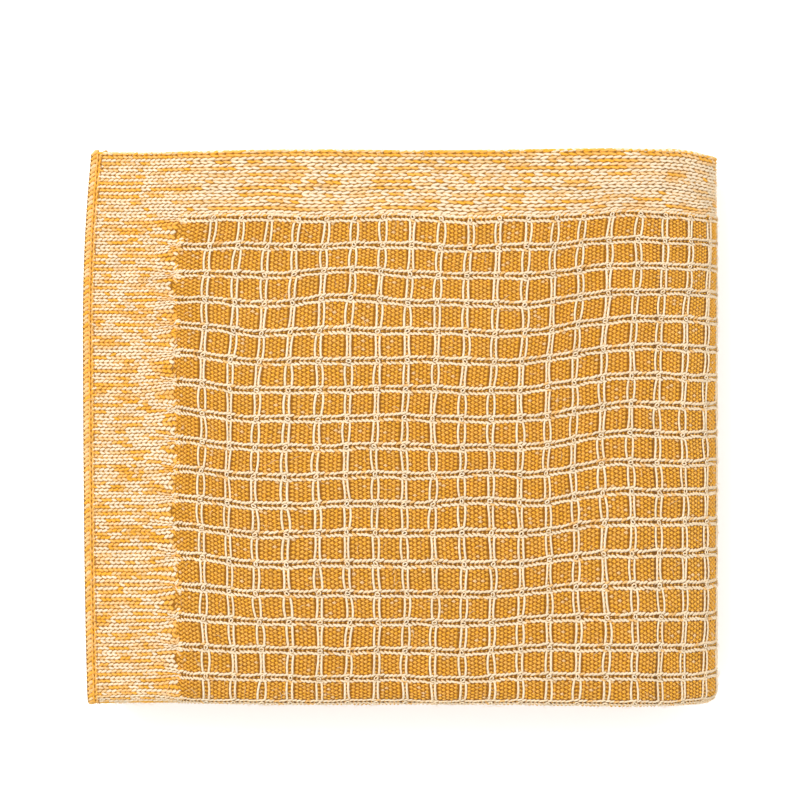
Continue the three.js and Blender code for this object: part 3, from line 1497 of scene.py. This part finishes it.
    def strays(self, patch: Patch, share: float) -> Sites:
        """Stray fibres all over the face, thickest along the folds and hems.

        Args:
            patch: The stretch of the throw.
            share: How many there are on a square millimetre.

        Returns:
            The sites.
        """
        area = (patch.end - patch.start) * (patch.far - patch.near) / MM**2
        count = int(area * share)
        at = np.zeros((count, 3))
        at[:, 0] = self.random.uniform(patch.start, patch.end, count)
        at[:, 1] = -self.random.uniform(patch.near, patch.far, count)
        at[:, 2] = self.random.uniform(-0.4, 0.1, count) * MM
        turn = self.random.uniform(-0.25, 0.25, (count, 3))
        turn[:, 2] = self.random.uniform(0, 2 * math.pi, count)
        stretch = self.random.uniform(0.5, 1.3, (count, 3))
        stretch[:, 1:] = self.random.uniform(0.7, 1.5, (count, 2))
        return Sites.of(Stitch.STRAY, at, self.random.choice([0.2, 0.95], count), turn, stretch)

    def cuff(self, near: float, far: float, at_end: bool, inner: bool) -> tuple[Sites, Sites | None]:
        """The stitches that close the throw's end, in place on the flat cloth before they wrap its edge.

        Args:
            near: Where the stretch starts, from the hem.
            far: Where it ends.
            at_end: Whether it is the throw's far end.
            inner: Whether the plain column and the strand of painted shade along the seam beside the wrapping
                stitches are made too.

        Returns:
            The sites that wrap the edge and the sites that don't.
        """
        g = self.gauge
        count = max(1, round((far - near) / g.cuff_pitch))
        at = rows_of(0.0, -middles(near, far, count), -1.0 * MM)
        wrap = Sites.of(Stitch.CUFF, at, self.random.uniform(0.0, 0.6, count))
        if not inner:
            return wrap, None
        length = self.cloth.length
        column_u, seam_u = (length - u if at_end else u for u in (g.cuff_column, g.cuff_seam))
        courses = max(1, round((far - near) / g.column_course))
        v = -middles(near, far, courses)
        parts = []
        for stitch in (Stitch.BORDER_LEFT, Stitch.BORDER_RIGHT):
            tint = self.random.uniform(0, 0.25, courses)
            at = rows_of(column_u, v, -1.1 * MM)
            parts.append(Sites.of(stitch, at, tint, (0, 0, math.pi / 2), (1.2, 0.8, 1)))
        # A thin brown strand along the seam: painted shade.
        parts.append(Sites.of(Stitch.SEAM, rows_of(seam_u, v, -0.5 * MM), -0.75))
        return wrap, Sites.joined(parts)


class Throw:
    """The folded throw: its sheets of ground knit and the stitches on them."""

    SHOW_DEPTH = -1.05 * MM  # the ground's two faces, under the face stitches
    BACK_DEPTH = -3.4 * MM
    FLAT_STEP = 8.5 * MM
    FRONT_MARGIN = 6 * MM  # how far the stitches go on past the fold at the front
    STRAYS = 0.012  # stray fibres on a square millimetre
    BELOW = {"top_leaf": "second_leaf", "second_leaf": "third_leaf", "third_leaf": "bottom_leaf"}
    INNER_BEND = 5 * MM  # half the height over which the inner spine would follow the leaves that open
    ACROSS_TURNS = {1: 10, 3: 8, 5: 4}  # how many steps the sheet has round each fold across its width
    ALONG_TURNS = {1: 26, 3: 18, 5: 18}  # and round each fold along its length
    SHEET_INSET = 1.0 * MM  # how far the sheet's edge lies inside the hem's stitches
    UNEVEN = 0.05  # how far each stitch is turned at random, in radians
    FINE_REGIONS = ("top_leaf", "outer_spine")  # the ones that can be seen close up
    BOUND_LEAVES = ("top_leaf", "second_leaf")  # the ones that hold the throw's ends, and turn on the spine

    def __init__(self, sizes: StackSizes) -> None:
        """Prepares the cloth, its finishes and its stitches.

        Args:
            sizes: The stack's sizes.
        """
        self.sizes = sizes
        self.cloth = FoldedCloth(sizes)
        self.gauge = Gauge()
        self.face = KnitFace(self.cloth, self.gauge)
        self.nodes = StitchNodes()
        self.templates = {d: StitchTemplates(self.gauge, d) for d in Detail}
        self.yarn = YarnFinish().build()
        self.ground_knit = GroundFinish(
            border=sizes.side_border, end=sizes.end_border, length=self.cloth.length
        ).build()
        self.made = []

    # ---- ground knit

    def stops(self, path: ArcPath, start: float, end: float, turn_steps: dict[int, int]) -> np.ndarray:
        """Places along a path, close together where it turns.

        Args:
            path: The path.
            start: Where to start.
            end: Where to end.
            turn_steps: How many steps each leg that turns gets, by its number.

        Returns:
            The places, in order.
        """
        found = [start, end]
        for i, leg in enumerate(path.legs):
            low, high = max(start, path.stops[i]), min(end, path.stops[i + 1])
            if high - low <= 1e-9:
                continue
            share = (high - low) / (path.stops[i + 1] - path.stops[i])
            steps = turn_steps[i] * share if leg.side else (high - low) / self.FLAT_STEP
            found += list(np.linspace(low, high, max(1, math.ceil(steps)) + 1))
        return np.unique(np.round(found, 7))

    def sheet(self, name: str, region: Region) -> bpy.types.Object:
        """A closed sheet of ground knit.

        Args:
            name: The piece's name.
            region: The stretch of the throw that it covers.

        Returns:
            The piece, in place.
        """
        width = self.cloth.width
        inset = self.SHEET_INSET
        across = self.stops(self.cloth.across, inset, width - inset, self.ACROSS_TURNS)
        along = self.stops(self.cloth.along, region.start, region.end, self.ALONG_TURNS)
        rows, columns = len(along), len(across)
        uu, ww = np.meshgrid(along, across, indexing="ij")
        flat = np.stack([uu.ravel(), -ww.ravel()], axis=1)
        points = [np.column_stack([flat, np.full(len(flat), d)]) for d in (self.SHOW_DEPTH, self.BACK_DEPTH)]
        number = np.arange(rows * columns).reshape(rows, columns)
        behind = number + rows * columns
        corners = (number[:-1, :-1], number[:-1, 1:], number[1:, 1:], number[1:, :-1])
        cells = np.stack(corners, axis=-1).reshape(-1, 4)
        walls = [cells, cells[:, ::-1] + rows * columns]
        for line, under, flip in (
            (number[:, 0], behind[:, 0], True),
            (number[:, -1], behind[:, -1], False),
            (number[0], behind[0], False),
            (number[-1], behind[-1], True),
        ):
            wall = np.stack([line[:-1], under[:-1], under[1:], line[1:]], axis=1)
            walls.append(wall[:, ::-1] if flip else wall)
        faces = np.concatenate(walls)
        uvs = np.tile(flat, (2, 1))[faces.ravel()]
        placed = self.cloth.place(np.concatenate(points))
        mesh = make_mesh(name, placed, faces.tolist(), uvs)
        mesh.materials.append(self.ground_knit)
        return self.show(bpy.data.objects.new(name, mesh))

    def show(self, piece: bpy.types.Object) -> bpy.types.Object:
        """Puts a piece in the scene.

        Args:
            piece: The piece.

        Returns:
            The same piece.
        """
        bpy.context.scene.collection.objects.link(piece)
        self.made.append(piece)
        return piece

    # ---- stitches

    def stitched(
        self,
        name: str,
        sites: Sites,
        detail: Detail,
        wrap: Callable[[np.ndarray], np.ndarray] | None = None,
    ) -> bpy.types.Object:
        """One piece of stitches, laid out flat by the node tree and then folded.

        Args:
            name: The piece's name.
            sites: Where the stitches go.
            detail: How finely they are made.
            wrap: What moves the flat points before the cloth is folded, if anything.

        Returns:
            The piece, in place.
        """
        host_mesh = bpy.data.meshes.new(f"{name}_sites")
        host_mesh.from_pydata(sites.at.tolist(), [], [])
        for key, kind, values in (
            ("kind", "INT", sites.kind.astype(np.int32)),
            ("turn", "FLOAT_VECTOR", sites.turn.astype(np.float32)),
            ("stretch", "FLOAT_VECTOR", sites.stretch.astype(np.float32)),
            ("tint", "FLOAT", sites.tint.astype(np.float32)),
        ):
            attribute = host_mesh.attributes.new(key, kind, "POINT")
            attribute.data.foreach_set("vector" if kind == "FLOAT_VECTOR" else "value", values.ravel())
        host = bpy.data.objects.new(f"{name}_host", host_mesh)
        bpy.context.scene.collection.objects.link(host)
        modifier = host.modifiers.new("stitches", "NODES")
        modifier.node_group = self.nodes.tree
        for socket, value in (
            ("Templates", self.templates[detail].collection),
            ("Yarn", self.yarn),
            ("Uneven", self.UNEVEN),
            ("Seed", SEED + len(self.made)),
        ):
            modifier[self.nodes.identifier(socket)] = value
        graph = bpy.context.evaluated_depsgraph_get()
        mesh = bpy.data.meshes.new_from_object(host.evaluated_get(graph))
        bpy.data.objects.remove(host)
        bpy.data.meshes.remove(host_mesh)
        mesh.name = name
        for key in ("kind", "turn", "stretch"):
            if key in mesh.attributes:
                mesh.attributes.remove(mesh.attributes[key])
        count = len(mesh.vertices)
        flat = np.zeros(count * 3, np.float32)
        mesh.vertices.foreach_get("co", flat)
        flat = flat.reshape(-1, 3).astype(float)
        if wrap is not None:
            flat = wrap(flat)
        mesh.vertices.foreach_set("co", self.cloth.place(flat).astype(np.float32).ravel())
        mesh.update()
        if not mesh.materials:
            mesh.materials.append(self.yarn)
        return self.show(bpy.data.objects.new(name, mesh))

    def tie(self, piece: bpy.types.Object, region: str) -> bpy.types.Object:
        """Ties a piece to the body that its region moves with; a piece of either spine is only fixed in
        place, tied to no body.

        Args:
            piece: The piece, in place.
            region: Name of the region.

        Returns:
            The same piece.
        """
        low, high = Body.LOWER.value, Body.UPPER.value
        if region == "outer_spine":
            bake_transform(piece)
        elif region == "inner_spine":
            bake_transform(piece)
        else:
            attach(piece, high if region in self.BOUND_LEAVES else low)
        return piece

    def wrapped(self, at_end: bool) -> Callable[[np.ndarray], np.ndarray]:
        """What carries the cuff's stitches round the throw's end.

        Args:
            at_end: Whether it is the throw's far end.

        Returns:
            A function of the flat points.
        """
        radius, run = self.sizes.knit / 2, 12 * MM
        legs = [Leg(run), Leg.turn(radius, 1), Leg(run)]
        if at_end:
            path = ArcPath((self.cloth.length - radius - run, 0.0), (1.0, 0.0), (0.0, 1.0), legs)
        else:
            path = ArcPath((radius + run, -2 * radius), (-1.0, 0.0), (0.0, -1.0), legs)

        def carry(flat: np.ndarray) -> np.ndarray:
            """Carries flat points round the end.

            Args:
                flat: The points.

            Returns:
                The moved points.
            """
            line, normal = path.at(flat[:, 0] + path.length / 2)
            spot = line + normal * flat[:, 2:3]
            return np.stack([spot[:, 0], flat[:, 1], spot[:, 1]], axis=1)

        return carry

    def build_region(self, region: Region, detail: Detail) -> list[bpy.types.Object]:
        """The face stitches of one region.

        Args:
            region: The region.
            detail: How finely they are made.

        Returns:
            The pieces.
        """
        face, stops = self.face, self.cloth.across.stops
        front = stops[2] + self.FRONT_MARGIN
        show = Patch(region.start, region.end, 0.0, front)
        back = Patch(region.start, region.end, stops[3] - 8 * MM, stops[4] + 4 * MM)
        hems = [face.hem(region, True)]
        if region.name == "inner_spine":
            show = replace(show, near=stops[1] + 8 * MM)
        else:
            hems.append(face.hem(region, False))
        plain = detail is Detail.PLAIN
        marl = hems + [face.marl(show), face.marl(back)]
        chains = [face.chains(show, plain), face.chains(back, True)]
        floats = [face.floats(show, plain), face.floats(back, True)]
        squares = [face.squares(show), face.squares(back)]
        if plain:
            groups = {"marl": marl, "lines": chains + floats, "squares": squares}
        else:
            groups = {"marl": marl, "chains": chains, "floats": floats, "squares": squares}
            edges = replace(show, near=stops[1] - 10 * MM, far=stops[2])
            hem = replace(show, far=8 * MM)
            groups["strays"] = [face.strays(place, self.STRAYS) for place in (show, edges, hem)]
        pieces = []
        for part, sites in groups.items():
            piece = self.stitched(f"{region.name}_{part}", Sites.joined(sites), detail)
            pieces.append(self.tie(piece, region.name))
        return pieces

    def build_end(self, region: Region, at_end: bool) -> list[bpy.types.Object]:
        """The cuff that closes one end of the throw.

        Args:
            region: The leaf that it ends.
            at_end: Whether it is the throw's far end.

        Returns:
            The pieces.
        """
        front = self.cloth.across.stops[2] + self.FRONT_MARGIN
        face_wrap, column = self.face.cuff(0.8 * MM, front, at_end, True)
        rest_wrap, _ = self.face.cuff(front, self.cloth.width - 0.8 * MM, at_end, False)
        carry = self.wrapped(at_end)
        made = [
            self.stitched(f"{region.name}_cuff", face_wrap, Detail.FINE, carry),
            self.stitched(f"{region.name}_inner_cuff", rest_wrap, Detail.PLAIN, carry),
            self.stitched(f"{region.name}_cuff_column", column, Detail.FINE),
        ]
        return [self.tie(piece, region.name) for piece in made]

    def build(self) -> None:
        """Builds every piece and ties each leaf's pieces to their body; the spines' pieces are only fixed in
        place.
        """
        spread = self.spread_lengths()
        for name, region in self.cloth.regions.items():
            pieces = self.build_region(region, Detail.FINE if name in self.FINE_REGIONS else Detail.PLAIN)
            if name in self.BOUND_LEAVES:
                pieces += self.build_end(region, name == "second_leaf")
            sheet = self.tie(self.sheet(f"{name}_knit", region), name)
            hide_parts(*[n for n in sorted(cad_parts) if n.startswith(name)])
            flat = (self.cloth.width, spread[name])

    def spread_lengths(self) -> dict[str, float]:
        """How long each region of the cloth is at the middle of its four layers.

        Returns:
            A length for each region.
        """
        s, lengths = self.sizes, {}
        for leg, (name, region) in zip(self.cloth.along.legs, self.cloth.regions.items()):
            if leg.side:
                lengths[name] = math.pi * (leg.radius - leg.side * s.leaf_height / 2)
            else:
                lengths[name] = region.end - region.start
        return lengths


# --------------------------------------------------------------------------- surroundings


class Studio:
    """A pale table top, soft light and the camera above."""

    CENTRE = (-1.8 * MM, 16.4 * MM)
    VIEW_WIDTH = 464 * MM
    DISTANCE = 1.5
    TABLE_PAINTED_GLOW = 0.3  # the table top glows with painted light of its own, which washes out most of the shadow
    TABLE_HALF = 3.0
    TABLE_DROP = 0.5 * MM  # how far the table top lies under the throw
    SKY_STRENGTH = 1.0
    LAMP_WATTS = 24.0
    LAMP_SIZE = 1.1
    LAMP_PLACE = (-0.8, 0.9, 1.6)
    SENSOR = 36.0  # the camera's sensor width, in millimetres

    def __init__(self, sizes: StackSizes) -> None:
        """Takes the stack's sizes.

        Args:
            sizes: The stack's sizes.
        """
        self.sizes = sizes

    def build(self) -> None:
        """Builds the floor, the light and the camera."""
        bpy.context.scene.view_settings.view_transform = "Standard"
        self.build_table()
        self.build_light()
        self.build_camera()

    def build_table(self) -> None:
        """Builds the table top, a matt white one that glows with painted light, so that a shadow hardly marks
        it.
        """
        half, down = self.TABLE_HALF, -self.TABLE_DROP
        square = ((-half, -half), (half, -half), (half, half), (-half, half))
        corners = np.array([(x, y, down) for x, y in square])
        mesh = make_mesh("floor", corners, [(0, 1, 2, 3)])
        floor = bpy.data.objects.new("floor", mesh)
        bpy.context.scene.collection.objects.link(floor)
        paint = bpy.data.materials.new("White table top, matt")
        paint.use_nodes = True
        shader = paint.node_tree.nodes["Principled BSDF"]
        # Painted light: the table top glows, lighting the throw from below and washing out its shadow.
        for name, value in (
            ("Base Color", (0.93, 0.93, 0.93, 1)),
            ("Roughness", 0.9),
            ("Specular IOR Level", 0.1),
            ("Emission Color", (1, 1, 1, 1)),
            ("Emission Strength", self.TABLE_PAINTED_GLOW),
        ):
            shader.inputs[name].default_value = value
        mesh.materials.append(paint)

    def build_light(self) -> None:
        """Builds the even white surroundings and one large soft lamp."""
        world = bpy.data.worlds.new("studio")
        world.use_nodes = True
        sky = world.node_tree.nodes["Background"]
        sky.inputs["Color"].default_value = (1, 1, 1, 1)
        sky.inputs["Strength"].default_value = self.SKY_STRENGTH
        bpy.context.scene.world = world
        lamp = bpy.data.lights.new("softbox", "AREA")
        lamp.shape = "DISK"
        lamp.size = self.LAMP_SIZE
        lamp.energy = self.LAMP_WATTS
        light = bpy.data.objects.new("softbox", lamp)
        light.location = self.LAMP_PLACE
        light.rotation_euler = (-light.location).to_track_quat("-Z", "Y").to_euler()
        bpy.context.scene.collection.objects.link(light)

    def build_camera(self) -> None:
        """Builds the camera, straight above the throw."""
        lens = bpy.data.cameras.new("camera")
        lens.sensor_width = self.SENSOR
        lens.lens = self.SENSOR * self.DISTANCE / self.VIEW_WIDTH
        lens.clip_start = 0.05
        camera = bpy.data.objects.new("camera", lens)
        camera.location = (*self.CENTRE, self.sizes.height + self.DISTANCE)
        bpy.context.scene.collection.objects.link(camera)
        bpy.context.scene.camera = camera


def triangles(mesh: bpy.types.Mesh) -> int:
    """How many triangles a mesh has.

    Args:
        mesh: The mesh.

    Returns:
        The number.
    """
    return len(mesh.loops) - 2 * len(mesh.polygons)


def main() -> None:
    """Builds the throw and its surroundings."""
    logging.basicConfig(level=logging.INFO, format="%(message)s")
    sizes = StackSizes.from_frame()
    throw = Throw(sizes)
    throw.build()
    Studio(sizes).build()
    for piece in throw.made:
        LOG.info("%s: %d triangles", piece.name, triangles(piece.data))
    LOG.info("in all: %d triangles", sum(triangles(p.data) for p in throw.made))


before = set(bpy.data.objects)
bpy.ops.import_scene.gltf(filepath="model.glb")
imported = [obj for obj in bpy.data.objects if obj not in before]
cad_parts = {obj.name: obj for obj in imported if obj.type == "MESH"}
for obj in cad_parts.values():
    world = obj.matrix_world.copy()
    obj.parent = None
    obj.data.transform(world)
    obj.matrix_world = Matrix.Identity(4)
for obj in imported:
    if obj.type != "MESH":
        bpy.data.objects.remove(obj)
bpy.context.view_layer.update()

if __name__ == "__main__":
    main()
